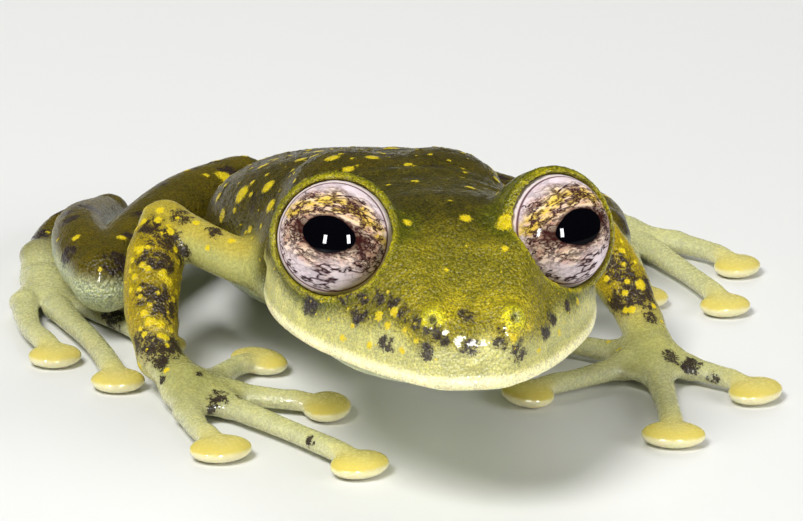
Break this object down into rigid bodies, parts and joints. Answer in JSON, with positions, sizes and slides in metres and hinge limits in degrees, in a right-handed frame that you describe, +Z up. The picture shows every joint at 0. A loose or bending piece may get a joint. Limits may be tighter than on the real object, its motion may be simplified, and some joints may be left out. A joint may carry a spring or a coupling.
{
  "type": "frog",
  "caption": "Small green glass frog with yellow spots and dark blotches, sitting on all fours with round finger pads spread",
  "frame": {"origin": "the middle of the bounding box at the level of the lowest pads, where they rest on the ground", "axes": "+Z up, -Y the way the frog faces, +X the frog's left side"},
  "size_m": [0.0242, 0.0268, 0.009],
  "materials": {
    "skin": "wet gloss, translucent, finely granular",
    "eye": "clear wet gloss over a veined iris"
  },
  "bodies": {
    "root": {"head": "skin", "lower_jaw": "skin", "trunk": "skin", "eye_left": "eye", "eye_right": "eye", "upper_arm_right": "skin", "forearm_right": "skin", "hand_right": "skin", "finger_i_right": "skin", "finger_ii_right": "skin", "finger_iii_right": "skin", "finger_iv_right": "skin", "thigh_right": "skin", "shank_right": "skin", "tarsus_right": "skin", "foot_right": "skin", "toe_i_right": "skin", "toe_ii_right": "skin", "toe_iii_right": "skin", "toe_iv_right": "skin", "toe_v_right": "skin", "upper_arm_left": "skin", "forearm_left": "skin", "hand_left": "skin", "finger_i_left": "skin", "finger_ii_left": "skin", "finger_iii_left": "skin", "finger_iv_left": "skin", "thigh_left": "skin", "shank_left": "skin", "tarsus_left": "skin", "foot_left": "skin", "toe_i_left": "skin", "toe_ii_left": "skin", "toe_iii_left": "skin", "toe_iv_left": "skin", "toe_v_left": "skin"}
  },
  "joints": []
}
